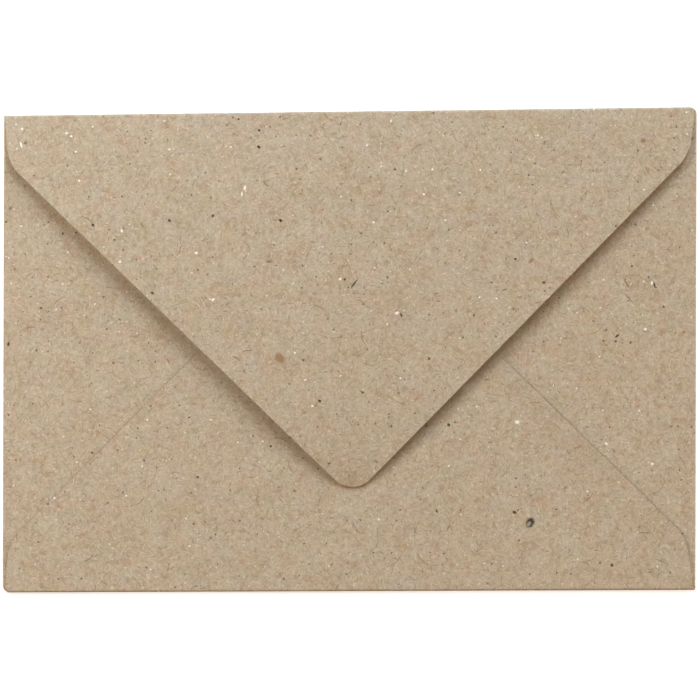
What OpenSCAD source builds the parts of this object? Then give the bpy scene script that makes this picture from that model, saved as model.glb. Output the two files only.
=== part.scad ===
// Paper envelope, folded and glued from one sheet of recycled paper.
// It lies on its address side with the flap on top. X runs along the top fold,
// Y runs up the envelope and Z is up. The origin is under the middle of its box.

/* [Envelope] */
// Width of the closed envelope between its two side folds
envelope_w = 162; // [140:1:230]
// Height of the closed envelope, measured at the middle of its width
envelope_h = 112.2; // [100:0.1:165]
// Degrees by which the top fold is out of square, rising to the right
top_skew = 0.86; // [0:0.01:2]
// Degrees by which the bottom fold is out of square, rising to the right
bottom_skew = 0.36; // [0:0.01:2]
// Rounding of the two rubbed corners, at the top right and the bottom left
rubbed_corner_r = 1.7; // [0.5:0.1:4]

/* [Paper] */
// Thickness of the sheet
paper_t = 0.18; // [0.1:0.01:0.3]
// Height of the empty pocket, between the front panel and the side flaps
pocket_gap = 0.35; // [0.2:0.05:1]
// Thickness of the glue between the side flaps and the bottom flap
glue_t = 0.06; // [0.04:0.01:0.12]
// Width of the glue line along each seam
glue_w = 5; // [2:0.5:8]
// Distance from the cut edge of the bottom flap to the glue line
glue_setback = 0.8; // [0.2:0.1:2]
// Air between the bottom flap and the top flap beside the top fold
closing_gap = 0.06; // [0.04:0.01:0.3]

/* [Top flap] */
// Length of the top flap from its fold to its rounded tip
top_flap_len = 87.8; // [60:0.1:95]
// Distance below the top fold at which the flap's straight edges would meet the sides
top_edge_drop = 9.7; // [5:0.1:16]
// Rounding of the tip of the top flap
top_tip_r = 5.7; // [2:0.1:12]
// Degrees by which the short sides of the top flap lean in from the corners
top_side_lean = 6.6; // [2:0.1:12]
// Height to which the closed flap bows up off the flaps beneath it
flap_bow = 1.5; // [0.3:0.1:5]
// Height at which the tip of the flap hovers over the bottom flap
tip_lift = 0.5; // [0:0.05:1.5]

/* [Bottom flap] */
// Length of the bottom flap from its fold to its rounded tip
bottom_flap_len = 88.3; // [60:0.1:95]
// Distance above the bottom fold at which the seams would meet the sides
bottom_edge_drop = 10.5; // [5:0.1:16]
// Rounding of the tip of the bottom flap
bottom_tip_r = 5.7; // [2:0.1:12]
// Degrees by which the short sides of the bottom flap lean in from the corners
bottom_side_lean = 7.5; // [2:0.1:12]
// Degrees by which the bottom flap was cut askew to its fold
bottom_flap_turn = 0.3; // [0:0.05:1]

/* [Side flaps] */
// Length of each side flap from its fold to its rounded tip
side_flap_len = 54; // [40:0.5:62]
// Distance from the end of the fold at which the side flap's straight edges start
side_edge_drop = 3; // [1:0.5:6]
// Rounding of the tip of each side flap
side_tip_r = 7; // [2:0.5:12]
// Degrees by which the short sides of the side flaps lean in
side_lean = 7.5; // [2:0.1:12]
// Length of the notch in the sheet at each end of a side fold
corner_notch = 1; // [0.8:0.1:3]

/* [Cut] */
// Rounding of the shoulders, where a flap's short side turns into its long edge
shoulder_r = 9; // [3:0.5:14]
// Distance from the envelope's corners to the ends of the top and bottom folds
fold_inset = 0.35; // [0.1:0.05:1]

/* [Hidden] */

kraft = [0.733, 0.659, 0.561];
fold_facets = 64;
arc_step = 5;
bow_steps = 44;
// How soon the lifted flap rises from its fold, and how late it drops to its tip
bow_rise_power = 5;
bow_fall_power = 10;
// Depth to which the glue soaks into the paper on both sides
glue_soak = paper_t / 6;
// Length of the front panel that each fold's section takes with it
tail = 3;
// Length that cutting shapes reach past what they cut
past = 2;

half_w = envelope_w / 2;
half_h = envelope_h / 2;

// Underside of each layer of paper, counted up from the surface it lies on
side_z = paper_t + pocket_gap;
bottom_z = side_z + paper_t + glue_t;
top_z = bottom_z + paper_t + closing_gap;

// Outer radius of each fold, half of the stack that the fold goes round
side_fold_r = (side_z + paper_t) / 2;
bottom_fold_r = (bottom_z + paper_t) / 2;
top_fold_r = (top_z + paper_t) / 2;

// Height of the envelope's middle over the origin, which centres the skewed outline
middle_y = -half_w / 2 * (tan(top_skew) - tan(bottom_skew));

// The outer edges of the two skewed folds, as heights at a place across the envelope
function top_edge(x) = middle_y + half_h + x * tan(top_skew);
function bottom_edge(x) = middle_y - half_h + x * tan(bottom_skew);

function unit(v) = v / norm(v);

// The corner b between a and c, rounded to radius r as far as its two sides allow
function rounded_corner(a, b, c, r) =
    let (
        to_a = unit(a - b),
        to_c = unit(c - b),
        half_angle = acos(to_a * to_c) / 2,
        room = min(norm(a - b), norm(c - b)) * 0.48,
        radius = min(r, room * tan(half_angle)),
        centre = b + unit(to_a + to_c) * radius / sin(half_angle),
        first = b + to_a * radius / tan(half_angle) - centre,
        last = b + to_c * radius / tan(half_angle) - centre,
        start = atan2(first[1], first[0]),
        swing = atan2(last[1], last[0]) - start,
        sweep = swing > 180 ? swing - 360 : swing < -180 ? swing + 360 : swing,
        steps = max(2, ceil(abs(sweep) / arc_step))
    )
    [for (i = [0:steps]) centre + radius * [cos(start + sweep * i / steps), sin(start + sweep * i / steps)]];

// A polygon whose corners are rounded to the given radii, with 0 for a sharp one
function rounded_outline(points, radii) =
    let (n = len(points))
    [for (i = [0:n - 1])
        each radii[i] <= 0
            ? [points[i]]
            : rounded_corner(points[(i + n - 1) % n], points[i], points[(i + 1) % n], radii[i])];

// How far above a flap's edge_drop its straight edges would cross over the rounded tip
function edge_rise(half_base, edge_drop, length, tip_r) =
    let (
        straight = length - edge_drop - tip_r,
        spread = 1 - pow(tip_r / half_base, 2)
    )
    (straight + sqrt(pow(straight, 2) - spread * (pow(straight, 2) - pow(tip_r, 2)))) / spread;

// A pointed flap: X runs along its fold, Y from the fold's outer edge to the tip
function flap_outline(half_base, inset, lean, edge_drop, length, tip_r) =
    let (
        rise = edge_rise(half_base, edge_drop, length, tip_r),
        slope = rise / half_base,
        shoulder_y = (edge_drop + slope * inset) / (1 - slope * tan(lean)),
        shoulder_x = half_base - inset - tan(lean) * shoulder_y,
        base_x = half_base - inset + tan(lean) * past
    )
    rounded_outline(
        [[-base_x, -past], [base_x, -past], [shoulder_x, shoulder_y],
         [0, edge_drop + rise], [-shoulder_x, shoulder_y]],
        [0, 0, shoulder_r, tip_r, shoulder_r]);

// Height of the bowed top flap over its flat place, from 0 at the fold to 1 at the tip
function lift(along) =
    tip_lift * along
    + flap_bow * (1 - pow(1 - along, bow_rise_power)) * (1 - pow(along, bow_fall_power));

// Section of the half turn that the paper makes at a fold, with the panel's edge below it.
// X runs from the fold's outer edge into the envelope, Y is up.
module fold_section(fold_r) {
    translate([fold_r, fold_r]) difference() {
        circle(r = fold_r, $fn = fold_facets);
        circle(r = fold_r - paper_t, $fn = fold_facets);
        translate([0, -fold_r - past]) square([fold_r + past, 2 * (fold_r + past)]);
    }
    translate([fold_r, 0]) square([tail, paper_t]);
}

// Section of a fold and the flat flap that lies back over the envelope
module flat_flap_section(fold_r, length) {
    fold_section(fold_r);
    translate([fold_r, 2 * fold_r - paper_t]) square([length - fold_r + past, paper_t]);
}

// Section of the top fold and of its flap, which springs up and curves down to its tip
module bowed_flap_section(fold_r, length) {
    reach = length - fold_r;
    underside = [for (i = [0:bow_steps])
        [fold_r + reach * i / bow_steps, 2 * fold_r - paper_t + lift(i / bow_steps)]];
    upper_side = [for (i = [bow_steps:-1:0]) underside[i] + [0, paper_t]];
    fold_section(fold_r);
    polygon(concat(underside, upper_side));
}

// Turns a section into a strip that runs across the flap, X along the fold and Y to the tip
module run_along_fold(width) {
    rotate([90, 0, 90]) linear_extrude(height = width, center = true) children();
}

// A block with a flap's outline, tall enough to cut any section to that outline
module flap_blank(outline) {
    translate([0, 0, -past]) linear_extrude(height = top_z + flap_bow + tip_lift + 2 * past)
        polygon(outline);
}

// Each placement moves a flap from its own axes to its fold on the envelope
module at_bottom_fold() {
    translate([0, bottom_edge(0), 0]) rotate(bottom_skew) children();
}

module at_top_fold() {
    translate([0, top_edge(0), 0]) rotate(180 + top_skew) children();
}

// The side is -1 for the left fold and 1 for the right one
module at_side_fold(side) {
    translate([side * half_w, (top_edge(side * half_w) + bottom_edge(side * half_w)) / 2, 0])
        rotate(side * 90) children();
}

function side_fold_half(side) = (top_edge(side * half_w) - bottom_edge(side * half_w)) / 2;

function side_outline(side) = flap_outline(
    side_fold_half(side) - corner_notch, 0, side_lean, side_edge_drop, side_flap_len, side_tip_r);

bottom_outline = flap_outline(
    half_w, fold_inset, bottom_side_lean, bottom_edge_drop, bottom_flap_len, bottom_tip_r);

top_outline = flap_outline(
    half_w, fold_inset, top_side_lean, top_edge_drop, top_flap_len, top_tip_r);

// The front panel reaches to where the paper starts to turn at each of the four folds
module front_panel() {
    right = half_w - side_fold_r;
    bottom_turn = bottom_fold_r / cos(bottom_skew);
    top_turn = top_fold_r / cos(top_skew);
    linear_extrude(height = paper_t) polygon([
        [-right, bottom_edge(-right) + bottom_turn],
        [right, bottom_edge(right) + bottom_turn],
        [right, top_edge(right) - top_turn],
        [-right, top_edge(-right) - top_turn]]);
}

// A side flap, folded in first
module side_flap(side) {
    at_side_fold(side) intersection() {
        run_along_fold(envelope_h + past) flat_flap_section(side_fold_r, side_flap_len);
        flap_blank(side_outline(side));
    }
}

// The bottom flap, folded up over the two side flaps
module bottom_flap() {
    at_bottom_fold() intersection() {
        run_along_fold(envelope_w + past) flat_flap_section(bottom_fold_r, bottom_flap_len);
        rotate(bottom_flap_turn) flap_blank(bottom_outline);
    }
}

// The top flap, folded down over everything and left unsealed
module top_flap() {
    at_top_fold() intersection() {
        run_along_fold(envelope_w + past) bowed_flap_section(top_fold_r, top_flap_len);
        flap_blank(top_outline);
    }
}

// One glue line along a seam, kept to where the side flap lies under the bottom flap
module glue_line(side) {
    seam_rise = edge_rise(half_w, bottom_edge_drop, bottom_flap_len, bottom_tip_r);
    seam_angle = atan(seam_rise / half_w);
    translate([0, 0, side_z + paper_t - glue_soak])
        linear_extrude(height = glue_t + 2 * glue_soak) intersection() {
            at_bottom_fold() rotate(bottom_flap_turn) intersection() {
                polygon(bottom_outline);
                mirror([side < 0 ? 1 : 0, 0])
                    translate([half_w, bottom_edge_drop])
                    rotate(180 - seam_angle)
                    translate([0, glue_setback])
                    square([norm([half_w, seam_rise]), glue_w]);
            }
            at_side_fold(side) translate([0, glue_setback]) polygon(side_outline(side));
        }
}

// What the two rubbed corners have lost, outside a rounded outline
module corner_waste(x_side) {
    r = rubbed_corner_r;
    y_edge = x_side > 0 ? top_edge(half_w - r) : bottom_edge(r - half_w);
    arc = [for (a = [0:arc_step:90]) [half_w - r, 0] + r * [cos(a), sin(a)]];
    translate([0, y_edge - x_side * r, -past]) rotate(x_side > 0 ? 0 : 180)
        linear_extrude(height = top_z + flap_bow + tip_lift + 2 * past)
        polygon(concat(arc, [[half_w - r, r + past], [half_w + past, r + past], [half_w + past, 0]]));
}

// The whole folded sheet, one solid
module envelope() {
    color(kraft) difference() {
        union() {
            front_panel();
            side_flap(-1);
            side_flap(1);
            glue_line(-1);
            glue_line(1);
            bottom_flap();
            top_flap();
        }
        corner_waste(-1);
        corner_waste(1);
    }
}

envelope();
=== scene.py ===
# %% [markdown]
# # A paper envelope, folded from one sheet
#
# The part is a closed letter envelope of recycled kraft paper. On the real thing a blank is
# die-cut from a sheet, its side flaps are folded in, its bottom flap is glued up over them
# and its top flap is folded down over everything. This script does the same: it models the
# flat blank, folds it, gives the paper its thickness and then its colour.
#
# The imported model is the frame. It says where the envelope lies and how large it is, and
# most sizes below are the ones that it was built with. A few follow the photo more closely:
# how far two flaps lie to one side, the bow of the top flap, the free right edge of the
# bottom flap, and the tabs at the corners.

# %% Load the frame
import math
from collections import namedtuple

import bmesh
import bpy
from mathutils import Matrix, Vector, kdtree, noise


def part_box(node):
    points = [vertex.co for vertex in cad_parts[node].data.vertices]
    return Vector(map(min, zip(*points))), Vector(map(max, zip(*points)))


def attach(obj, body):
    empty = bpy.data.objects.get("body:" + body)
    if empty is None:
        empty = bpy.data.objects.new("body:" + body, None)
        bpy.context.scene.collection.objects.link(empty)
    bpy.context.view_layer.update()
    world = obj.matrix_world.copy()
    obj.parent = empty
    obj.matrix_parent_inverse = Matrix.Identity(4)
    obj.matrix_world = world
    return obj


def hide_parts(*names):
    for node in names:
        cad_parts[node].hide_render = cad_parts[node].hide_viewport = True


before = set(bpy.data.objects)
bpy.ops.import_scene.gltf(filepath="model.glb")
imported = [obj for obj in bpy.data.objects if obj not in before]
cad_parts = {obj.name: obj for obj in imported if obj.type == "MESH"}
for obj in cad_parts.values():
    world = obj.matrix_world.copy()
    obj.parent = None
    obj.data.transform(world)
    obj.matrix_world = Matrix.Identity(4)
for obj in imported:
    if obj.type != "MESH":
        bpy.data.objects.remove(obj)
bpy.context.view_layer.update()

MM = 0.001
low_corner, high_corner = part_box("envelope")
print("envelope in the frame, mm:", [round(side / MM, 2) for side in high_corner - low_corner])

# %% [markdown]
# ## The sizes of the sheet
#
# Almost every size is one that a maker would set: the width and height of the closed
# envelope, the thickness of the paper, and the length of each flap. The width comes from
# the frame. The height does too, once the slope of the two skewed folds is taken off it.

# %% Sizes of the closed envelope
ENVELOPE_W = high_corner.x - low_corner.x
TOP_SKEW = math.radians(0.86)
BOTTOM_SKEW = math.radians(0.36)
RUBBED_CORNER_R = 1.7 * MM
HALF_W = ENVELOPE_W / 2
skew_rise = (HALF_W - RUBBED_CORNER_R) * (math.tan(TOP_SKEW) + math.tan(BOTTOM_SKEW))
ENVELOPE_H = high_corner.y - low_corner.y - skew_rise
MIDDLE_Y = -HALF_W / 2 * (math.tan(TOP_SKEW) - math.tan(BOTTOM_SKEW))
print("height at the middle, mm:", round(ENVELOPE_H / MM, 2))

# %% The paper and the stack of its layers
PAPER_T = 0.18 * MM
POCKET_GAP = 0.35 * MM
GLUE_T = 0.06 * MM
CLOSING_GAP = 0.06 * MM
side_z = PAPER_T + POCKET_GAP
bottom_z = side_z + PAPER_T + GLUE_T
top_z = bottom_z + PAPER_T + CLOSING_GAP
for name, underside in (("side", side_z), ("bottom", bottom_z), ("top", top_z)):
    print("underside of the", name, "flap, mm:", round(underside / MM, 2))

# %% [markdown]
# ## Four folds
#
# A fold is described by a point on its outer edge, the direction that it runs in, the
# direction into the envelope, and the outer radius of the half turn that the paper makes.
# That is all it takes to fold a flat sheet: a point of the blank that lies a distance past
# the start of the fold goes round the half turn first and then back over the envelope.

# %% Describe the folds
Fold = namedtuple("Fold", "edge along inward radius")


def top_edge(x):
    return MIDDLE_Y + ENVELOPE_H / 2 + x * math.tan(TOP_SKEW)


def bottom_edge(x):
    return MIDDLE_Y - ENVELOPE_H / 2 + x * math.tan(BOTTOM_SKEW)


def make_fold(edge, angle, under_z):
    along = Vector((math.cos(angle), math.sin(angle)))
    return Fold(Vector(edge), along, Vector((-along.y, along.x)), (under_z + PAPER_T) / 2)


def side_middle(x):
    return (top_edge(x) + bottom_edge(x)) / 2


FOLDS = {
    "left": make_fold((-HALF_W, side_middle(-HALF_W)), -math.pi / 2, side_z),
    "right": make_fold((HALF_W, side_middle(HALF_W)), math.pi / 2, side_z),
    "bottom": make_fold((0, bottom_edge(0)), BOTTOM_SKEW, bottom_z),
    "top": make_fold((0, top_edge(0)), math.pi + TOP_SKEW, top_z),
}
for name, fold in FOLDS.items():
    print("fold", name, "outer radius", round(fold.radius / MM, 3), "mm")

# %% [markdown]
# ## The outline of each flap
#
# Every flap is cut to the same pattern: short sides that lean in from the corners, rounded
# shoulders, and two straight edges that run to a rounded tip. `drop` is where the straight
# edges would meet the sides of the envelope, and the slope of the edges follows from the
# drop, the length and the rounding of the tip. `inset` is how far a flap starts in from the
# corner. No die is set dead square either: `turn` skews a flap a little, and `aside` moves
# its shoulders and its tip to one side, along the direction that its fold runs in.

# %% Describe the flaps
Flap = namedtuple("Flap", "half_base inset lean drop length tip_r turn aside")
SHOULDER_R = 9 * MM
FOLD_INSET = 0.12 * MM
CORNER_NOTCH = 1 * MM


def side_half(x):
    return (top_edge(x) - bottom_edge(x)) / 2 - CORNER_NOTCH


LEAN = math.radians(7.5)
TOP_LEAN = math.radians(6.6)
BOTTOM_TURN = math.radians(0.3)
SLIT = 0.08 * MM
FLAPS = {
    "left": Flap(side_half(-HALF_W), 0, LEAN, 3 * MM, 54 * MM, 7 * MM, 0, 0),
    "right": Flap(side_half(HALF_W), 0, LEAN, 3 * MM, 54 * MM, 7 * MM, 0, 0),
    "bottom": Flap(HALF_W, FOLD_INSET, LEAN, 10.45 * MM, 88.25 * MM, 5.7 * MM, BOTTOM_TURN, -0.35 * MM),
    "top": Flap(HALF_W, FOLD_INSET, TOP_LEAN, 9.7 * MM, 87.8 * MM, 5.7 * MM, 0, 0.58 * MM),
}


def half_fold(name):
    """Half the length over which a flap is joined to the panel."""
    flap = FLAPS[name]
    return flap.half_base - flap.inset - math.tan(flap.lean) * FOLDS[name].radius


def edge_rise(flap):
    """How far above its drop a flap's straight edges cross over the rounded tip."""
    straight = flap.length - flap.drop - flap.tip_r
    spread = 1 - (flap.tip_r / flap.half_base) ** 2
    return (straight + math.sqrt(straight ** 2 - spread * (straight ** 2 - flap.tip_r ** 2))) / spread


def flap_corners(flap):
    """The shoulder and the sharp tip of a flap, X along its fold and Y from the fold's outer edge."""
    slope = edge_rise(flap) / flap.half_base
    lean = math.tan(flap.lean)
    shoulder_y = (flap.drop + slope * flap.inset) / (1 - slope * lean)
    shoulder = Vector((flap.half_base - flap.inset - lean * shoulder_y, shoulder_y))
    return shoulder, Vector((0, flap.drop + edge_rise(flap)))


for name, flap in FLAPS.items():
    edge_angle = math.degrees(math.atan(edge_rise(flap) / flap.half_base))
    print(name, "flap: edges at", round(edge_angle, 2), "degrees")

# %% [markdown]
# ## The flat blank
#
# The blank starts as the front panel, a single face. For each flap the panel's edge is
# split at four points, the middle piece, as wide as the fold, is extruded to the two
# shoulders, and the far edge is split to give the tip. Then a vertex bevel rounds the
# shoulders and the tip. An extrusion keeps the flap joined to the panel, so the sheet stays
# one piece of paper. A fine slit parts the fold from a small flat tab at each corner. The
# tabs keep the corners of the front panel square, where a fold that ran right to the end
# would leave them cut off.

# %% Helpers that place points of the flat blank


def mid_radius(fold):
    return fold.radius - PAPER_T / 2


def blank_point(fold, x, past):
    """The place on the flat blank that lies x along a fold and `past` beyond its start."""
    return (fold.edge + fold.along * x + fold.inward * (fold.radius - past)).to_3d()


def unfolded(fold, x, y):
    """Where a point of a folded flap lies on the flat blank. Y runs from the fold's outer edge."""
    return blank_point(fold, x, math.pi * mid_radius(fold) + y - fold.radius)


def past_fold_start(fold, point):
    return fold.radius - (point.to_2d() - fold.edge).dot(fold.inward)


def past_start_of(name, point):
    """How far a point of a flap lies past the start of its fold, or 0 for a point beside the flap."""
    across = (point.to_2d() - FOLDS[name].edge).dot(FOLDS[name].along)
    beside = abs(across) > half_fold(name) + SLIT / 2
    return 0 if beside else past_fold_start(FOLDS[name], point)


def crossing(fold_a, fold_b):
    """The corner of the envelope, where the outer edges of two folds cross."""
    across = Vector((-fold_b.along.y, fold_b.along.x))
    way = (fold_b.edge - fold_a.edge).dot(across) / fold_a.along.dot(across)
    return (fold_a.edge + fold_a.along * way).to_3d()


# %% Make the panel
blank = bmesh.new()
bmesh.ops.create_grid(blank, x_segments=1, y_segments=1, size=HALF_W)
for vert in blank.verts:
    side = "right" if vert.co.x > 0 else "left"
    end = "top" if vert.co.y > 0 else "bottom"
    vert.co = crossing(FOLDS[side], FOLDS[end])
print("panel:", len(blank.verts), "corners and", len(blank.faces), "face")

# %% Cut the panel's edge for a flap


def verts_along(fold, geometry):
    """The vertices of a result in the order in which the fold runs."""
    found = [item for item in geometry if isinstance(item, bmesh.types.BMVert)]
    return sorted(found, key=lambda vert: (vert.co.to_2d() - fold.edge).dot(fold.along))


def cut_base(bm, name):
    """Cuts the panel back to the start of a fold, except for a flat tab at each corner."""
    fold, half = FOLDS[name], half_fold(name)

    def off_line(edge):
        return max(abs(past_fold_start(fold, vert.co) - fold.radius) for vert in edge.verts)

    cut = bmesh.ops.subdivide_edges(bm, edges=[min(bm.edges, key=off_line)], cuts=4)
    verts = verts_along(fold, cut["geom_inner"])
    tab_x = half + SLIT
    for vert, x, past in zip(verts, (-tab_x, -half, half, tab_x), (fold.radius, 0, 0, fold.radius)):
        vert.co = blank_point(fold, x, past)
    return verts[1:3]


# %% Extrude the four flaps


def extrude_flap(bm, name):
    """Grows a flap and returns the places of its two shoulders and its tip on the flat blank."""
    fold, flap = FOLDS[name], FLAPS[name]
    shoulder, tip = flap_corners(flap)
    outline = []
    for x, y in ((-shoulder.x, shoulder.y), (0, tip.y), (shoulder.x, shoulder.y)):
        skewed = Matrix.Rotation(flap.turn, 2) @ Vector((x, y))
        outline.append(unfolded(fold, skewed.x + flap.aside, skewed.y))
    base = cut_base(bm, name)
    grown = bmesh.ops.extrude_edge_only(bm, edges=[bm.edges.get(base)])["geom"]
    shoulders = verts_along(fold, grown)
    shoulders[0].co, shoulders[1].co = outline[0], outline[2]
    split = bmesh.ops.subdivide_edges(bm, edges=[bm.edges.get(shoulders)], cuts=1)
    verts_along(fold, split["geom_inner"])[0].co = outline[1]
    return outline


outlines = {name: extrude_flap(blank, name) for name in FOLDS}
print("blank:", len(blank.faces), "faces before rounding")

# %% Round the shoulders and the tips
ARC_SEGMENTS = 10


def round_corner(bm, place, radius):
    """Bevels the outline corner at a place to an arc. The bevel's offset runs along its two sides."""
    vert = min(bm.verts, key=lambda item: (item.co - place).length)
    sides = [(edge.other_vert(vert).co - vert.co).normalized() for edge in vert.link_edges]
    half_angle = sides[0].angle(sides[1]) / 2
    bmesh.ops.bevel(bm, geom=[vert], offset=radius / math.tan(half_angle), offset_type="OFFSET",
                    segments=ARC_SEGMENTS, profile=0.5, affect="VERTICES", material=-1)


for name, (first_shoulder, tip, second_shoulder) in outlines.items():
    round_corner(blank, tip, FLAPS[name].tip_r)
    round_corner(blank, first_shoulder, SHOULDER_R)
    round_corner(blank, second_shoulder, SHOULDER_R)
print("blank:", len(blank.verts), "outline points")

# %% [markdown]
# ## Lines for the sheet to bend along
#
# A flat face can't bend, so the blank is cut into small cells. A plain grid of cuts is
# enough for the slow bow of the flap. The folds turn within half a millimetre, so each gets
# its own fine lines, parallel to it, and so do the corners that are rubbed round.

# %% Cut the blank into cells
CELL = 2.4 * MM
FOLD_STEPS = 12
CORNER_CELL = 0.3 * MM
ON_THE_CUT = 1e-7
SAME_POINT = 2e-6


def cut_line(bm, point, normal):
    everything = bm.verts[:] + bm.edges[:] + bm.faces[:]
    bmesh.ops.bisect_plane(bm, geom=everything, dist=ON_THE_CUT, plane_co=point, plane_no=normal)


def fold_line_places(fold):
    """Distances past the start of a fold at which the sheet gets a cut."""
    turn = math.pi * mid_radius(fold)
    corner_cells = round(RUBBED_CORNER_R / CORNER_CELL)
    round_the_turn = [turn * step / FOLD_STEPS for step in range(FOLD_STEPS + 1)]
    before = [-CORNER_CELL * step for step in range(1, corner_cells + 1)]
    after = [turn + CORNER_CELL * step for step in range(1, corner_cells + 1)]
    return before + round_the_turn + after


for fold in FOLDS.values():
    for past in fold_line_places(fold):
        cut_line(blank, blank_point(fold, 0, past), fold.inward.to_3d())

reach_x = HALF_W + FLAPS["left"].length
reach_y = ENVELOPE_H / 2 + FLAPS["top"].length
for axis, reach in ((Vector((1, 0, 0)), reach_x), (Vector((0, 1, 0)), reach_y)):
    for step in range(-int(reach / CELL), int(reach / CELL) + 1):
        cut_line(blank, axis * step * CELL, axis)
bmesh.ops.remove_doubles(blank, verts=blank.verts, dist=SAME_POINT)
print("sheet:", len(blank.faces), "cells")

# %% [markdown]
# ## The pattern belongs to the sheet
#
# The fibres and flecks of recycled paper are in the sheet before it is cut and folded. So
# each point keeps its place on the flat blank in an attribute, and the paper's material
# reads that. The pattern then runs round the folds and changes from flap to flap, as on the
# real envelope, where a pattern in space would run straight through all the layers.

# %% Remember each point's place on the flat sheet
flat_place = blank.verts.layers.float_vector.new("flat_place")
from_cut = blank.verts.layers.float.new("from_cut")
for vert in blank.verts:
    vert[flat_place] = vert.co / MM
for axis, name in enumerate(("width", "height")):
    places = [vert.co[axis] for vert in blank.verts]
    print(name, "of the flat blank, mm:", round((max(places) - min(places)) / MM, 1))

# %% [markdown]
# ## The cut edges
#
# The bottom flap lies so close on the side flaps that its edges throw hardly a shadow, so the shade in its
# two seams is painted. A brown line of painted shade along the bottom flap's cut makes both seams show as
# thin dark lines. For that, each point also remembers how far it is from the nearest cut edge of the bottom
# flap. A k-d tree finds the nearest point of that edge, and the two segments beside it are measured.

# %% Measure how far each point lies from the cut of the bottom flap


def folded_back(vert):
    """Whether a point lies on the bottom flap, past the turn of its fold."""
    return past_start_of("bottom", vert.co) > math.pi * mid_radius(FOLDS["bottom"])


def from_segment(point, ends):
    start, way = ends[0].co, ends[1].co - ends[0].co
    share = (point - start).dot(way) / way.length_squared
    return (point - start - way * min(1, max(0, share))).length


cuts = {edge for edge in blank.edges if edge.is_boundary and all(folded_back(vert) for vert in edge.verts)}
cut_verts = [vert for vert in blank.verts if any(edge in cuts for edge in vert.link_edges)]
nearest_cut = kdtree.KDTree(len(cut_verts))
for number, vert in enumerate(cut_verts):
    nearest_cut.insert(vert.co, number)
nearest_cut.balance()
for vert in blank.verts:
    found = cut_verts[nearest_cut.find(vert.co)[1]]
    vert[from_cut] = min(from_segment(vert.co, edge.verts) for edge in found.link_edges if edge in cuts) / MM
print("cut edge of the bottom flap:", round(sum(edge.calc_length() for edge in cuts) / MM), "mm long")

# %% [markdown]
# ## Fold the sheet
#
# The closed top flap isn't pressed flat. It springs up from its fold, bows over the flaps
# beneath it by less than two millimetres, and comes down to them at its tip. That small bow
# is what throws the soft shadows along both of its edges. The bottom flap is glued a little
# short of its right edge, which springs up by a little more than the paper's thickness.

# %% The bow of the top flap
FLAP_BOW = 1.65 * MM
TIP_LIFT = 0.2 * MM
BOW_RISE_POWER = 5
BOW_FALL_POWER = 12


def lift(along):
    """Height of the bowed flap over its flat place, with 0 at the fold and 1 at the tip."""
    bow = (1 - (1 - along) ** BOW_RISE_POWER) * (1 - along ** BOW_FALL_POWER)
    return TIP_LIFT * along + FLAP_BOW * bow


print("bow halfway and at the tip, mm:", round(lift(0.5) / MM, 2), round(lift(1) / MM, 2))

# %% The free right edge of the bottom flap
SEAM_LIFT = 0.24 * MM
SEAM_REACH = 6 * MM
STIFF_TO = 1.5 * MM
FREE_FROM = 5 * MM


def spring(vert):
    """How far the bottom flap springs up near its right edge, where the glue stops short of it."""
    near = max(0, 1 - vert[from_cut] * MM / SEAM_REACH)
    past = past_fold_start(FOLDS["bottom"], vert.co)
    freedom = min(1, max(0, (past - STIFF_TO) / (FREE_FROM - STIFF_TO)))
    rightward = min(1, max(0, vert.co.x / SEAM_REACH))
    return SEAM_LIFT * near * freedom * rightward


# %% Fold one point, then all of them


def fold_point(name, fold, point):
    """Moves a point of the flat blank round its fold, to the middle of the paper there."""
    offset = point.to_2d() - fold.edge
    past = past_fold_start(fold, point)
    turn = math.pi * mid_radius(fold)
    if past <= turn:
        angle = past / mid_radius(fold)
        y = fold.radius - mid_radius(fold) * math.sin(angle)
        z = fold.radius - mid_radius(fold) * math.cos(angle)
    else:
        y = fold.radius + past - turn
        z = fold.radius + mid_radius(fold)
        if name == "top":
            z += lift(min(1, (past - turn) / (FLAPS[name].length - fold.radius)))
    plan = fold.edge + fold.along * offset.dot(fold.along) + fold.inward * y
    return Vector((plan.x, plan.y, z))


ON_PANEL = 1e-8
for vert in blank.verts:
    name = max(FOLDS, key=lambda item: past_start_of(item, vert.co))
    if past_start_of(name, vert.co) > ON_PANEL:
        rise = spring(vert) if name == "bottom" else 0
        vert.co = fold_point(name, FOLDS[name], vert.co)
        vert.co.z += rise
    else:
        vert.co.z = PAPER_T / 2
print("folded height, mm:", round(max(vert.co.z for vert in blank.verts) / MM, 2))

# %% [markdown]
# ## Wear and unevenness
#
# Two opposite corners of this envelope are rubbed round. A square corner becomes a round
# one when each point keeps its direction from the centre of the rounding but the square's
# far edge is pulled in to the circle. And no sheet of paper is dead flat: a slow, shallow
# wave lifts all the layers together, so that no layer cuts through the next.

# %% Rub the two corners and let the sheet undulate
WAVE_HEIGHT = 0.09 * MM
WAVE_LENGTH = 34 * MM
WAVE_SEED = Vector((3.1, 7.7, 0.4))


def rub_corner(point, side):
    edge_y = top_edge(point.x) if side > 0 else bottom_edge(point.x)
    centre = Vector((side * (HALF_W - RUBBED_CORNER_R), edge_y - side * RUBBED_CORNER_R))
    offset = (point.to_2d() - centre) * side
    if min(offset) > 0:
        pulled = offset * (max(offset) / offset.length)
        point.x, point.y = centre + pulled * side


def wave(x, y):
    raw = noise.noise(Vector((x, y, 0)) / WAVE_LENGTH + WAVE_SEED)
    return WAVE_HEIGHT * (1 + raw) / 2


for vert in blank.verts:
    rub_corner(vert.co, 1)
    rub_corner(vert.co, -1)
    vert.co.z += wave(vert.co.x, vert.co.y)
print("height with the wave, mm:", round(max(vert.co.z for vert in blank.verts) / MM, 2))
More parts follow.
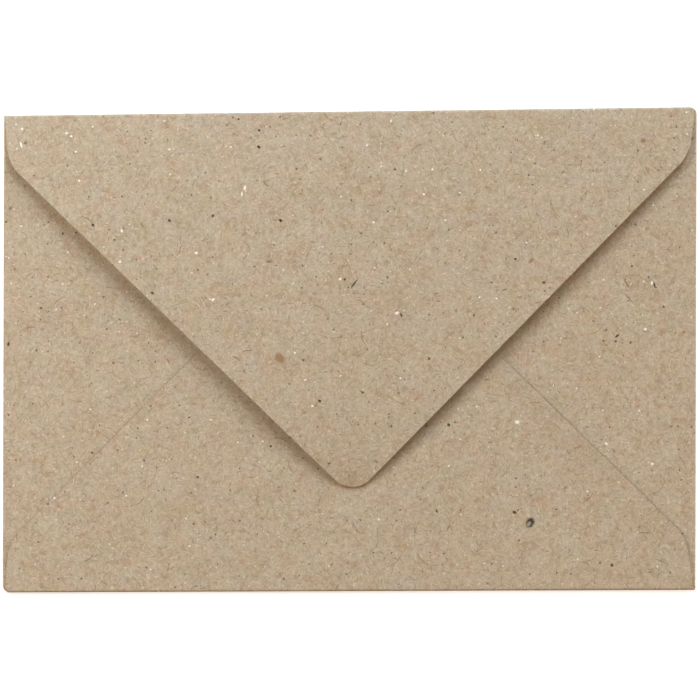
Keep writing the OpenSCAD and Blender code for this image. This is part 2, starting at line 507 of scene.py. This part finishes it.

# %% [markdown]
# ## Give the paper its thickness
#
# The model so far is the middle of the paper. A Solidify modifier, centred on it, makes the two faces and
# the cut edge. It gives the cut edge a material of its own, painted paler than the sheet as a painted
# highlight along the edges. Before that, the sheet has to face outwards: the face nearest the origin is part
# of the front panel, so its normal must point down. The result is applied, so the piece that is handed on is
# a plain closed mesh.

# %% Make the sheet object
bmesh.ops.recalc_face_normals(blank, faces=blank.faces)
front = min(blank.faces, key=lambda face: face.calc_center_median().length)
if front.normal.z > 0:
    bmesh.ops.reverse_faces(blank, faces=blank.faces)
middle_mesh = bpy.data.meshes.new("folded_sheet_middle")
blank.to_mesh(middle_mesh)
blank.free()
folded_sheet = bpy.data.objects.new("folded_sheet", middle_mesh)
bpy.context.scene.collection.objects.link(folded_sheet)
thicken = folded_sheet.modifiers.new("paper thickness", "SOLIDIFY")
thicken.thickness = PAPER_T
thicken.offset = 0
thicken.material_offset_rim = 1
print("sheet:", len(middle_mesh.polygons), "faces in the middle of the paper")

# %% [markdown]
# ## Recycled kraft paper
#
# Seen close, this paper is a felt of short fibres that lie in every direction. Between them
# are soft patches of brown and grey, specks of bark and ink, and white flecks of unbroken
# pulp. Each of these is a layer of its own in the material, and all of them are sums, so
# each can be judged and tuned by itself.

# %% Helpers that build a material's nodes
SEED_STEP = (17.3, -9.7, 5.1)


def new_material(name, roughness, specular):
    material = bpy.data.materials.new(name)
    material.use_nodes = True
    shader = material.node_tree.nodes["Principled BSDF"]
    shader.inputs["Roughness"].default_value = roughness
    shader.inputs["Specular IOR Level"].default_value = specular
    return material, material.node_tree, shader


def add_node(tree, kind, inputs=None, **settings):
    node = tree.nodes.new(kind)
    for key, value in settings.items():
        setattr(node, key, value)
    for key, value in (inputs or {}).items():
        if isinstance(value, bpy.types.NodeSocket):
            tree.links.new(value, node.inputs[key])
        else:
            node.inputs[key].default_value = value
    return node


def calc(tree, operation, *values):
    return add_node(tree, "ShaderNodeMath", dict(enumerate(values)), operation=operation).outputs[0]


def vector_calc(tree, operation, *values):
    return add_node(tree, "ShaderNodeVectorMath", dict(enumerate(values)), operation=operation).outputs[0]


def parts(tree, vector):
    return add_node(tree, "ShaderNodeSeparateXYZ", {0: vector}).outputs


def shifted(tree, place, seed):
    """The same place in another part of the noise, so that no two layers are alike."""
    return vector_calc(tree, "ADD", place, [seed * step for step in SEED_STEP])


def turned(tree, place, angle):
    return add_node(tree, "ShaderNodeVectorRotate", {"Vector": place, "Angle": angle},
                    rotation_type="Z_AXIS").outputs[0]


def ramp(tree, value, start, stop):
    """0 at start and 1 at stop, smooth in between."""
    return add_node(tree, "ShaderNodeMapRange", {"Value": value, "From Min": start, "From Max": stop},
                    interpolation_type="SMOOTHSTEP", clamp=True).outputs[0]


def blend(tree, mask, under, over):
    return add_node(tree, "ShaderNodeMix", {0: mask, 6: under, 7: over}, data_type="RGBA").outputs[2]


# %% Two kinds of noise


def clouds(tree, place, size, seed, detail=0.0):
    """Three independent noises about zero, as a vector, with patches roughly size millimetres wide."""
    texture = add_node(tree, "ShaderNodeTexNoise", {"Vector": shifted(tree, place, seed), "Scale": 1 / size,
                                                    "Detail": detail, "Roughness": 0.6})
    return vector_calc(tree, "SUBTRACT", texture.outputs["Color"], (0.5, 0.5, 0.5))


def random_cells(tree, place, cell):
    """Cells of random shape. Gives each point its place in its cell, and three numbers drawn for it."""
    cells = add_node(tree, "ShaderNodeTexVoronoi", {"Vector": place, "Scale": 1 / cell},
                     voronoi_dimensions="2D")
    from_middle = vector_calc(tree, "SUBTRACT", place, cells.outputs["Position"])
    return from_middle, parts(tree, cells.outputs["Color"])


def strokes(tree, place, length, width, seed):
    """Noise drawn out into short strokes, whose direction changes from cell to cell."""
    moved = shifted(tree, place, seed)
    _, luck = random_cells(tree, moved, length)
    in_line = turned(tree, moved, calc(tree, "MULTIPLY", luck[0], math.pi))
    return clouds(tree, vector_calc(tree, "MULTIPLY", in_line, (1 / length, 1 / width, 1)), 1.0, 0)


# %% [markdown]
# ## Light and dark, brown and grey
#
# The finest fibres differ in lightness alone. The wider a patch is, the more it goes from
# brown, where it is dark, to grey, where it is light. So each layer of noise has a tint of
# its own: how much a little more of it adds to red, green and blue.

# %% The felt of the paper
KRAFT = (0.508, 0.405, 0.286)
FIBRES = 0.50 * Vector((0.90, 1.00, 1.18))
DUST = 0.22 * Vector((0.90, 1.00, 1.18))
TUFTS = 0.27 * Vector((0.78, 1.00, 1.34))
PATCHES = 0.17 * Vector((0.55, 1.00, 1.55))
RED_PATCHES = 0.17 * Vector((0.76, 0.20, -0.61))
GREEN_PATCHES = 0.10 * Vector((-0.59, 1.00, -0.40))
ALONG_THE_ROLL = (0.67, 1, 1)


def paper_felt(tree, place):
    """The colour of the paper without its separate marks, and its fibres for the relief."""
    fibres = parts(tree, strokes(tree, place, length=1.3, width=0.36, seed=1))[0]
    dust = parts(tree, clouds(tree, place, size=0.45, seed=6))[0]
    tufts = parts(tree, clouds(tree, place, size=1.2, seed=2))[0]
    patches = parts(tree, clouds(tree, place, size=4.5, seed=3))[0]
    stretched = vector_calc(tree, "MULTIPLY", place, ALONG_THE_ROLL)
    hues = parts(tree, clouds(tree, stretched, size=3.0, seed=4, detail=1.0))
    gains = Vector((1, 1, 1))
    for amount, tint in ((fibres, FIBRES), (dust, DUST), (tufts, TUFTS), (patches, PATCHES),
                         (hues[0], RED_PATCHES), (hues[1], GREEN_PATCHES)):
        as_vector = add_node(tree, "ShaderNodeCombineXYZ", {0: amount, 1: amount, 2: amount}).outputs[0]
        gains = vector_calc(tree, "MULTIPLY_ADD", as_vector, tint, gains)
    return vector_calc(tree, "MULTIPLY", gains, KRAFT), fibres


kraft_paper, tree, shader = new_material("kraft_paper", roughness=0.93, specular=0.18)
place = add_node(tree, "ShaderNodeAttribute", attribute_name="flat_place").outputs["Vector"]
colour, fibres = paper_felt(tree, place)
print("paper felt:", len(tree.nodes), "nodes")

# %% [markdown]
# ## Marks by the hundred
#
# What lies apart in the paper, such as a speck or a long fibre, is scattered with a Voronoi
# texture: it splits the sheet into cells, and each cell holds one mark, or none, with a size
# and a direction of its own. Far more of them than anyone could place by hand come from a
# few numbers each.

# %% Scatter marks over the sheet
FIBRE_BROWN = (0.235, 0.150, 0.082, 1)
RUST = (0.400, 0.225, 0.110, 1)
BARK = (0.070, 0.042, 0.022, 1)
PALE_PULP = (0.800, 0.665, 0.490, 1)
WHITE_PULP = (0.950, 0.900, 0.820, 1)
Kind = namedtuple("Kind", "seed cell length width share bend strength colour")
SCATTERED = {
    "pale fibres": Kind(31, 1.4, 1.0, 0.19, 0.60, 0.12, 0.32, PALE_PULP),
    "brown fibres": Kind(32, 1.6, 1.1, 0.20, 0.60, 0.12, 0.38, FIBRE_BROWN),
    "rusty patches": Kind(38, 3.4, 2.4, 0.90, 0.60, 0.1, 0.20, RUST),
    "long brown fibres": Kind(33, 7.5, 3.2, 0.17, 0.50, 0.14, 0.50, FIBRE_BROWN),
    "small specks": Kind(34, 2.5, 0.42, 0.30, 0.34, 0.0, 0.58, BARK),
    "large specks": Kind(35, 8.6, 0.62, 0.46, 0.20, 0.0, 0.75, BARK),
    "pale flecks": Kind(36, 2.3, 0.38, 0.30, 0.60, 0.0, 0.50, PALE_PULP),
    "white flecks": Kind(37, 6.0, 0.38, 0.30, 0.50, 0.0, 0.75, WHITE_PULP),
}
SMALLEST = 0.45
SIZE_SPREAD = 0.9
OUTSIDE = 1.4
INSIDE = 0.5


def scatter(tree, place, kind):
    """A mask of separate marks, one to a cell, in millimetres. Share is how many cells hold one."""
    offset, luck = random_cells(tree, shifted(tree, place, kind.seed), kind.cell)
    axes = parts(tree, turned(tree, offset, calc(tree, "MULTIPLY", luck[0], 2 * math.pi)))
    size = calc(tree, "MULTIPLY_ADD", luck[1], SIZE_SPREAD, SMALLEST)
    curve = calc(tree, "MULTIPLY", calc(tree, "MULTIPLY", axes[0], axes[0]), kind.bend)
    run = calc(tree, "DIVIDE", axes[0], calc(tree, "MULTIPLY", size, kind.length / 2))
    sideways = calc(tree, "SUBTRACT", axes[1], curve)
    across = calc(tree, "DIVIDE", sideways, calc(tree, "MULTIPLY", size, kind.width / 2))
    reach = calc(tree, "MULTIPLY_ADD", run, run, calc(tree, "MULTIPLY", across, across))
    inside = calc(tree, "MULTIPLY", ramp(tree, reach, OUTSIDE, INSIDE), size)
    return calc(tree, "MULTIPLY", inside, calc(tree, "LESS_THAN", luck[2], kind.share))


RAGGED = (0.5, 0.5, 0.0)
ragged = vector_calc(tree, "MULTIPLY", clouds(tree, place, size=0.45, seed=5, detail=1.0), RAGGED)
ragged_place = vector_calc(tree, "ADD", place, ragged)
for kind in SCATTERED.values():
    mask = calc(tree, "MULTIPLY", scatter(tree, ragged_place, kind), kind.strength)
    colour = blend(tree, mask, colour, kind.colour)
print("kraft paper:", len(SCATTERED), "kinds of mark,", len(tree.nodes), "nodes")

# %% [markdown]
# ## Marks that the eye picks out
#
# A few marks are what this one envelope is known by: a grey knot by the right seam, an oval
# brown chip near the middle, some black specks and bent fibres. These are placed one by one.
# Each is an ellipse: where it lies on the closed envelope and on which layer, how long and
# wide it is in millimetres, and the angle at which it lies. Its place is worked back to the
# flat sheet with the same folds that the sheet was folded by.

# %% Place a mark on the closed envelope
FADES_OUT = 1.25
FULL_TO = 0.6


def on_flat_sheet(layer, x, y, angle):
    """Where a mark of the closed envelope lies on the flat blank, in millimetres, and how it is turned."""
    fold = FOLDS[layer]
    spot = Vector((x, y)) * MM - fold.edge
    direction = Vector((math.cos(math.radians(angle)), math.sin(math.radians(angle))))
    flat = unfolded(fold, spot.dot(fold.along), spot.dot(fold.inward)) / MM
    mirrored = fold.along * direction.dot(fold.along) - fold.inward * direction.dot(fold.inward)
    return flat, math.atan2(mirrored.y, mirrored.x)


def placed(tree, place, marks):
    """One mask for all the marks of a list."""
    nearest = FADES_OUT
    for layer, x, y, length, width, angle in marks:
        centre, turn = on_flat_sheet(layer, x, y, angle)
        local = add_node(tree, "ShaderNodeMapping",
                         {"Vector": place, "Location": centre, "Rotation": (0, 0, turn),
                          "Scale": (length / 2, width / 2, 1)}, vector_type="TEXTURE").outputs[0]
        reach = add_node(tree, "ShaderNodeVectorMath", {0: local}, operation="LENGTH").outputs["Value"]
        nearest = calc(tree, "MINIMUM", nearest, reach)
    return ramp(tree, nearest, FADES_OUT, FULL_TO)


def painted(tree, place, under, marks, over, strength):
    """The colour of the paper with a list of marks blended over it."""
    print(len(marks), "marks placed")
    return blend(tree, calc(tree, "MULTIPLY", placed(tree, place, marks), strength), under, over)


# %% Black specks and splinters of bark
BARK_SPECKS = [
    ("top", -21.3, 51.2, 0.68, 0.63, 0),
    ("top", -26.1, 53.8, 0.61, 0.42, 0),
    ("top", 38.6, 21.3, 0.65, 0.65, 0),
    ("bottom", 38.6, -37.9, 1.03, 0.75, -25),
    ("bottom", 23.2, -17.5, 0.84, 0.70, -40),
    ("bottom", 61.4, -50.2, 0.79, 0.70, 60),
    ("right", 62.5, 3.4, 1.26, 0.54, 38),
    ("left", -79.8, 1.1, 1.08, 0.61, 80),
    ("right", 71.2, 15.3, 1.50, 0.44, -78),
    ("top", 12.0, 8.1, 1.17, 0.47, -70),
    ("top", -1.2, 16.4, 0.65, 0.61, 0),
    ("bottom", -18.4, -22.6, 0.63, 0.58, 0),
    ("top", 1.0, 15.4, 2.70, 0.40, 53),
]
colour = painted(tree, place, colour, BARK_SPECKS, BARK, strength=0.93)

# %% Fainter brown specks
BROWN_SPECKS = [
    ("top", 76.1, 52.5, 0.56, 0.51, 0),
    ("top", -2.1, 38.7, 0.65, 0.56, 0),
    ("top", -32.5, 35.4, 0.65, 0.56, 0),
    ("top", -28.8, 52.4, 0.61, 0.56, 0),
    ("top", 9.1, -15.8, 0.79, 0.65, 60),
    ("top", 6.3, -26.1, 1.17, 0.51, -35),
    ("bottom", 50.5, -32.1, 0.94, 0.70, 50),
    ("bottom", -37.0, -33.6, 0.70, 0.61, 0),
    ("bottom", 70.3, -51.8, 1.03, 0.47, -10),
    ("left", -79.4, 32.9, 0.98, 0.75, 70),
    ("top", 34.1, 27.4, 0.79, 0.65, 50),
    ("top", -18.9, 20.5, 1.31, 0.61, 3),
    ("top", 24.8, 9.2, 0.98, 0.42, 88),
    ("top", 20.2, 13.2, 1.03, 0.35, 2),
    ("top", 20.6, 11.4, 0.98, 0.37, -4),
    ("top", -75.9, 48.1, 0.89, 0.70, 0),
]
colour = painted(tree, place, colour, BROWN_SPECKS, BARK, strength=0.5)

# %% Loose brown fibres
LOOSE_FIBRES = [
    ("bottom", 23.1, -41.6, 1.54, 0.35, 66),
    ("right", 61.8, -23.5, 1.22, 0.37, -62),
    ("left", -42.4, -2.7, 1.50, 0.30, -67),
    ("top", -26.7, -1.9, 1.87, 0.35, -24),
    ("top", -24.0, -0.3, 2.69, 0.28, 6),
    ("right", 64.7, 15.6, 2.45, 0.44, -58),
    ("right", 65.2, 12.2, 3.39, 0.30, -48),
    ("bottom", -61.2, -49.3, 1.87, 0.28, 25),
    ("bottom", -60.2, -48.4, 1.17, 0.28, 58),
    ("bottom", 69.0, -42.6, 2.81, 0.26, -3),
    ("top", 36.1, 14.1, 1.40, 0.42, 20),
]
colour = painted(tree, place, colour, LOOSE_FIBRES, FIBRE_BROWN, strength=0.8)

# %% Rounded brown chips of wood
CHIPS = [
    ("top", -16.3, -2.0, 2.90, 2.00, -50),
    ("top", 68.4, 49.0, 1.31, 1.12, 0),
    ("top", -48.5, 28.9, 1.40, 0.47, -66),
    ("top", 42.3, 20.9, 1.64, 0.79, 48),
    ("top", -19.8, 38.7, 1.87, 0.47, -48),
    ("bottom", -32.4, -44.1, 0.95, 0.75, 0),
]
CHIP_BROWN = (0.330, 0.190, 0.095, 1)
colour = painted(tree, place, colour, CHIPS, CHIP_BROWN, strength=0.82)

# %% White flecks of pulp
WHITE_FLECKS = [
    ("top", -76.7, 51.4, 0.61, 0.61, 0),
    ("top", -76.9, 47.7, 1.54, 0.47, -75),
    ("top", -66.3, 50.4, 0.70, 0.56, 0),
    ("top", -65.2, 49.7, 0.61, 0.56, 0),
    ("top", -24.6, 37.7, 1.26, 0.58, 80),
    ("top", -25.3, 36.3, 1.17, 0.42, 85),
    ("top", -35.9, 22.5, 0.75, 0.70, 0),
    ("top", -31.9, 11.6, 0.98, 0.58, 42),
    ("top", -53.3, 27.6, 0.79, 0.56, -65),
    ("top", -53.7, 20.4, 0.63, 0.58, 0),
    ("top", -2.3, 16.5, 0.70, 0.65, 0),
    ("top", 11.0, 8.6, 1.03, 0.70, 20),
    ("right", 70.6, 15.8, 0.94, 0.56, 80),
    ("right", 69.1, 5.0, 0.75, 0.70, 0),
    ("bottom", 39.2, -16.8, 1.08, 0.89, 0),
    ("right", 60.0, -21.8, 0.94, 0.54, -42),
    ("right", 70.8, -26.5, 0.70, 0.65, 0),
    ("bottom", 44.2, -9.7, 0.56, 0.51, 0),
]
colour = painted(tree, place, colour, WHITE_FLECKS, WHITE_PULP, strength=0.9)

# %% The knot, a dark ring with a grey middle
KNOT_GREY = (0.330, 0.300, 0.260, 1)
KNOT_BLACK = (0.045, 0.033, 0.024, 1)
KNOT_RING = [("bottom", 42.3, -40.3, 2.60, 1.90, 62)]
KNOT_MIDDLE = [("bottom", 42.0, -40.6, 1.35, 0.84, 58)]
colour = painted(tree, ragged_place, colour, KNOT_RING, KNOT_BLACK, strength=0.95)
colour = painted(tree, place, colour, KNOT_MIDDLE, KNOT_GREY, strength=1.0)
print("kraft paper:", len(tree.nodes), "nodes with its placed marks")

# %% [markdown]
# ## The painted seam shade, the relief and the cut edge
#
# The painted shade along the bottom flap's cut is a brown line that stands for the shade in its seams. It is
# read from the distance that each point keeps, and a noise makes it stronger here and weaker there. The
# paper's relief is that of its fibres: they stand out by two hundredths of a millimetre, which only a bump
# can show. The cut edge has a material of its own. It is painted paler than the faces of the sheet, as a
# painted highlight along the edges.

# %% Painted shade along the cut of the bottom flap, for the shade in its seams
SEAM_SHADE_BROWN = (0.320, 0.218, 0.130, 1)
from_edge = add_node(tree, "ShaderNodeAttribute", attribute_name="from_cut").outputs["Fac"]
SEAM_SHADE_ENDS = 0.18
SEAM_SHADE_FULL_BY = 0.08
seam_shade_line = ramp(tree, from_edge, SEAM_SHADE_ENDS, SEAM_SHADE_FULL_BY)
SEAM_SHADE_PATCH = 1.6
seam_shade_noise = parts(tree, clouds(tree, place, size=SEAM_SHADE_PATCH, seed=9, detail=1.0))[0]
SEAM_SHADE_NOISE_OFF = -0.3
SEAM_SHADE_NOISE_FULL = 0.15
seam_shade_strength = ramp(tree, seam_shade_noise, SEAM_SHADE_NOISE_OFF, SEAM_SHADE_NOISE_FULL)
# Painted shade: the brown line is blended into the paper's colour along the bottom flap's cut.
colour = blend(tree, calc(tree, "MULTIPLY", seam_shade_line, seam_shade_strength), colour, SEAM_SHADE_BROWN)

# %% Finish the kraft paper
FIBRE_DEPTH = 0.02 * MM
bump = add_node(tree, "ShaderNodeBump", {"Height": fibres, "Strength": 0.4, "Distance": FIBRE_DEPTH})
tree.links.new(colour, shader.inputs["Base Color"])
tree.links.new(bump.outputs[0], shader.inputs["Normal"])
print("kraft paper:", len(tree.nodes), "nodes in all")

# %% The cut edge of the paper, painted paler as a highlight
cut_edge_highlight, tree, shader = new_material("cut_edge_highlight", roughness=0.95, specular=0.1)
place = add_node(tree, "ShaderNodeAttribute", attribute_name="flat_place").outputs["Vector"]
# Painted highlight: the cut edge is painted paler than the sheet, so the flaps' edges show a bright line.
EDGE_BROWN = (0.50, 0.41, 0.30, 1)
EDGE_HIGHLIGHT = (0.66, 0.56, 0.43, 1)
BROWN_AT = -0.2
PALE_AT = 0.2
highlight_mix = ramp(tree, parts(tree, clouds(tree, place, size=0.3, seed=8, detail=2.0))[0], BROWN_AT, PALE_AT)
tree.links.new(blend(tree, highlight_mix, EDGE_BROWN, EDGE_HIGHLIGHT), shader.inputs["Base Color"])
print("cut edge:", len(tree.nodes), "nodes")

# %% Apply the thickness and the materials
folded_sheet.data.materials.append(kraft_paper)
folded_sheet.data.materials.append(cut_edge_highlight)
SHARP_ANGLE = math.radians(45)
finished = bpy.data.meshes.new_from_object(
    folded_sheet.evaluated_get(bpy.context.evaluated_depsgraph_get()), preserve_all_data_layers=True,
    depsgraph=bpy.context.evaluated_depsgraph_get())
folded_sheet.modifiers.clear()
folded_sheet.data = finished
finished.name = "folded_sheet"
for polygon in finished.polygons:
    polygon.use_smooth = True
finished.set_sharp_from_angle(angle=SHARP_ANGLE)
triangles = sum(len(polygon.vertices) - 2 for polygon in finished.polygons)
print("finished sheet:", triangles, "triangles, attributes", [item.name for item in finished.attributes])
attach(folded_sheet, "root")
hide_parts("envelope")

# %% [markdown]
# ## Floor, light and camera
#
# The envelope lies on a plain white table and is photographed from straight above. The
# table is white because its own material adds light for the camera, for mirrors and for
# glass, so the lamps can stay at a level at which the paper's colour comes out as written.

# %% The white floor
FLOOR_SIZE = 1.0
FLOOR_GLOW = 0.62
FLOOR_DROP = 0.02 * MM
FLOOR_GREY = (0.8, 0.8, 0.8, 1)


def only_seen(tree):
    """1 for what the camera, a mirror or glass sees, and 0 for the light that lands on things."""
    rays = add_node(tree, "ShaderNodeLightPath").outputs
    seen = calc(tree, "MAXIMUM", rays["Is Camera Ray"], rays["Is Glossy Ray"])
    return calc(tree, "MAXIMUM", seen, rays["Is Transmission Ray"])


floor_bm = bmesh.new()
bmesh.ops.create_grid(floor_bm, x_segments=1, y_segments=1, size=FLOOR_SIZE / 2)
bmesh.ops.translate(floor_bm, verts=floor_bm.verts, vec=(0, 0, -FLOOR_DROP))
floor_mesh = bpy.data.meshes.new("floor")
floor_bm.to_mesh(floor_mesh)
floor_bm.free()
floor = bpy.data.objects.new("floor", floor_mesh)
bpy.context.scene.collection.objects.link(floor)
floor_paint, tree, shader = new_material("white_floor", roughness=0.9, specular=0.1)
shader.inputs["Base Color"].default_value = FLOOR_GREY
shader.inputs["Emission Color"].default_value = (1, 1, 1, 1)
tree.links.new(calc(tree, "MULTIPLY", only_seen(tree), FLOOR_GLOW), shader.inputs["Emission Strength"])
floor_mesh.materials.append(floor_paint)
print("floor:", FLOOR_SIZE, "m square")

# %% The light of the room
SKY_SHARE = 0.03
world = bpy.data.worlds.new("studio")
bpy.context.scene.world = world
world.use_nodes = True
tree = world.node_tree
background = tree.nodes["Background"]
background.inputs["Color"].default_value = (1, 1, 1, 1)
glow = calc(tree, "MULTIPLY_ADD", only_seen(tree), 1 - SKY_SHARE, SKY_SHARE)
tree.links.new(glow, background.inputs["Strength"])
print("share of the room's own light:", SKY_SHARE)

# %% [markdown]
# ## Lamps
#
# A lamp is easiest to balance when it is named by the share of the light that it gives to
# the table under it. The helper below turns that share into watts: the light of a flat lamp
# falls with the square of its distance and with the slant at which it meets the table. The
# shares, with that of the room, add up to about 1, the plain level at which a colour comes
# out about as it is written. All five stand low, because only a low lamp throws a shadow
# from a flap that rises so little. The two warm ones shine in under the flap, as light does
# that paper has already reflected, and make its shadows brown.

# %% Five soft boxes


def soft_box(name, share, colour, azimuth, elevation, distance, size):
    """An area lamp aimed at the origin. Azimuth 0 is +X and 90 is +Y, both angles in degrees."""
    turn, rise = math.radians(azimuth), math.radians(elevation)
    direction = Vector((math.cos(turn) * math.cos(rise), math.sin(turn) * math.cos(rise), math.sin(rise)))
    lamp = bpy.data.lights.new(name, "AREA")
    lamp.shape = "DISK"
    lamp.size = size
    lamp.color = colour
    lamp.energy = share * math.pi ** 2 * distance ** 2 / math.sin(rise)
    holder = bpy.data.objects.new(name, lamp)
    holder.location = direction * distance
    holder.rotation_euler = direction.to_track_quat("Z", "Y").to_euler()
    bpy.context.scene.collection.objects.link(holder)
    print(name, round(lamp.energy, 2), "W")


DAYLIGHT = (0.80, 1.0, 1.20)
WHITE = (1.0, 1.0, 1.0)
WARM = (1.56, 1.0, 0.48)
soft_box("window", 0.365, DAYLIGHT, azimuth=76, elevation=28, distance=2.8, size=1.8)
soft_box("near_left", 0.293, WHITE, azimuth=150, elevation=34, distance=0.55, size=0.24)
soft_box("low_left", 0.095, WARM, azimuth=205, elevation=24, distance=0.70, size=0.46)
soft_box("near_right", 0.075, WARM, azimuth=350, elevation=25, distance=0.40, size=0.25)
soft_box("far_right", 0.135, WHITE, azimuth=11, elevation=17, distance=4.0, size=1.4)

# %% [markdown]
# ## The camera
#
# The photo was taken from straight above, with the paper nearly filling the frame. The lens
# follows from that: at the camera's height, the width of the envelope has to cover its share
# of the picture. `SEEN_HEIGHT` is how high over the table that outline is seen. A slight
# roll and a small shift aim the camera as the photo was aimed.

# %% The camera, straight above
SENSOR_W = 36
PHOTO_W = 700
ENVELOPE_PIXELS = 693
CAMERA_HEIGHT = 1.2
PHOTO_ROLL = math.radians(0.15)
LENS_AIM = Vector((0.06, -0.06)) * MM
SEEN_HEIGHT = 0.9 * MM
seen_width = ENVELOPE_W * PHOTO_W / ENVELOPE_PIXELS
camera_data = bpy.data.cameras.new("camera")
camera_data.sensor_width = SENSOR_W
camera_data.lens = SENSOR_W * (CAMERA_HEIGHT - SEEN_HEIGHT) / seen_width
camera_data.clip_start = 0.01
camera = bpy.data.objects.new("camera", camera_data)
camera.location = (LENS_AIM.x, LENS_AIM.y, CAMERA_HEIGHT)
camera.rotation_euler = (0, 0, PHOTO_ROLL)
bpy.context.scene.collection.objects.link(camera)
bpy.context.scene.camera = camera
bpy.context.scene.view_settings.view_transform = "Standard"
print("lens:", round(camera_data.lens, 1), "mm")
